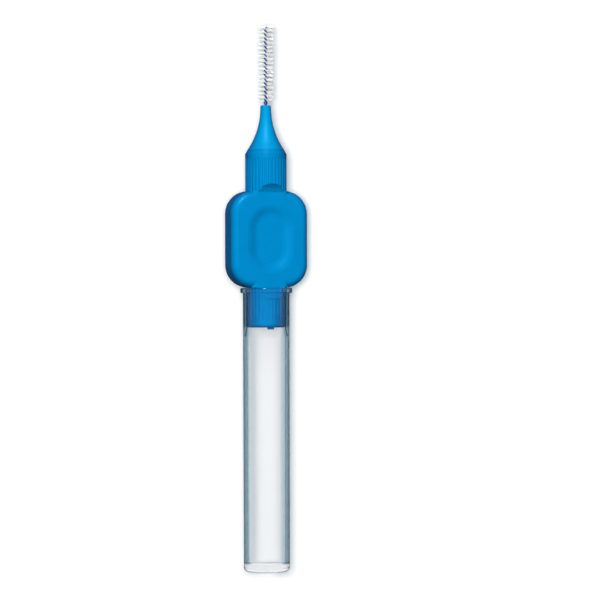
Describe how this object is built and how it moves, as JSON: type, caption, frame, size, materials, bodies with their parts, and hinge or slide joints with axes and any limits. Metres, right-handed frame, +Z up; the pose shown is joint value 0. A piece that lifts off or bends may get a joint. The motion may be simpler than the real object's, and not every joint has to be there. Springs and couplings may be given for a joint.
{
  "type": "interdental brush",
  "caption": "Small interdental brush with a thumb handle, soft neck, twisted-wire brush head and a clear tube cap stored on the rear plug.",
  "frame": {"origin": "on the table, under the middle of the box around the brush with its cap on the rear plug", "axes": "+Y along the brush towards its tip, +Z up; the brush lies on the cap's rim and on one long edge of the thumb pad, so the face of the pad leans towards +X"},
  "size_m": [0.0122, 0.0819, 0.0078],
  "materials": {
    "handle_plastic": "satin moulded polypropylene, solid mid blue",
    "neck_elastomer": "smooth satin elastomer, lighter blue",
    "coated_wire": "steel wire with a thin bonded dark blue plastic coat",
    "filament_nylon": "translucent white nylon filament",
    "clear_cap": "clear glossy polypropylene tube"
  },
  "bodies": {
    "handle": {"handle": "handle_plastic", "soft_neck": "neck_elastomer", "twisted_wire": "coated_wire", "filaments": "filament_nylon"},
    "cap": {"cap": "clear_cap"}
  },
  "joints": [
    {"name": "cap_slide", "type": "slide", "parent": "handle", "child": "cap", "axis": [0, -1, 0], "range_m": [0, 0.02]}
  ]
}
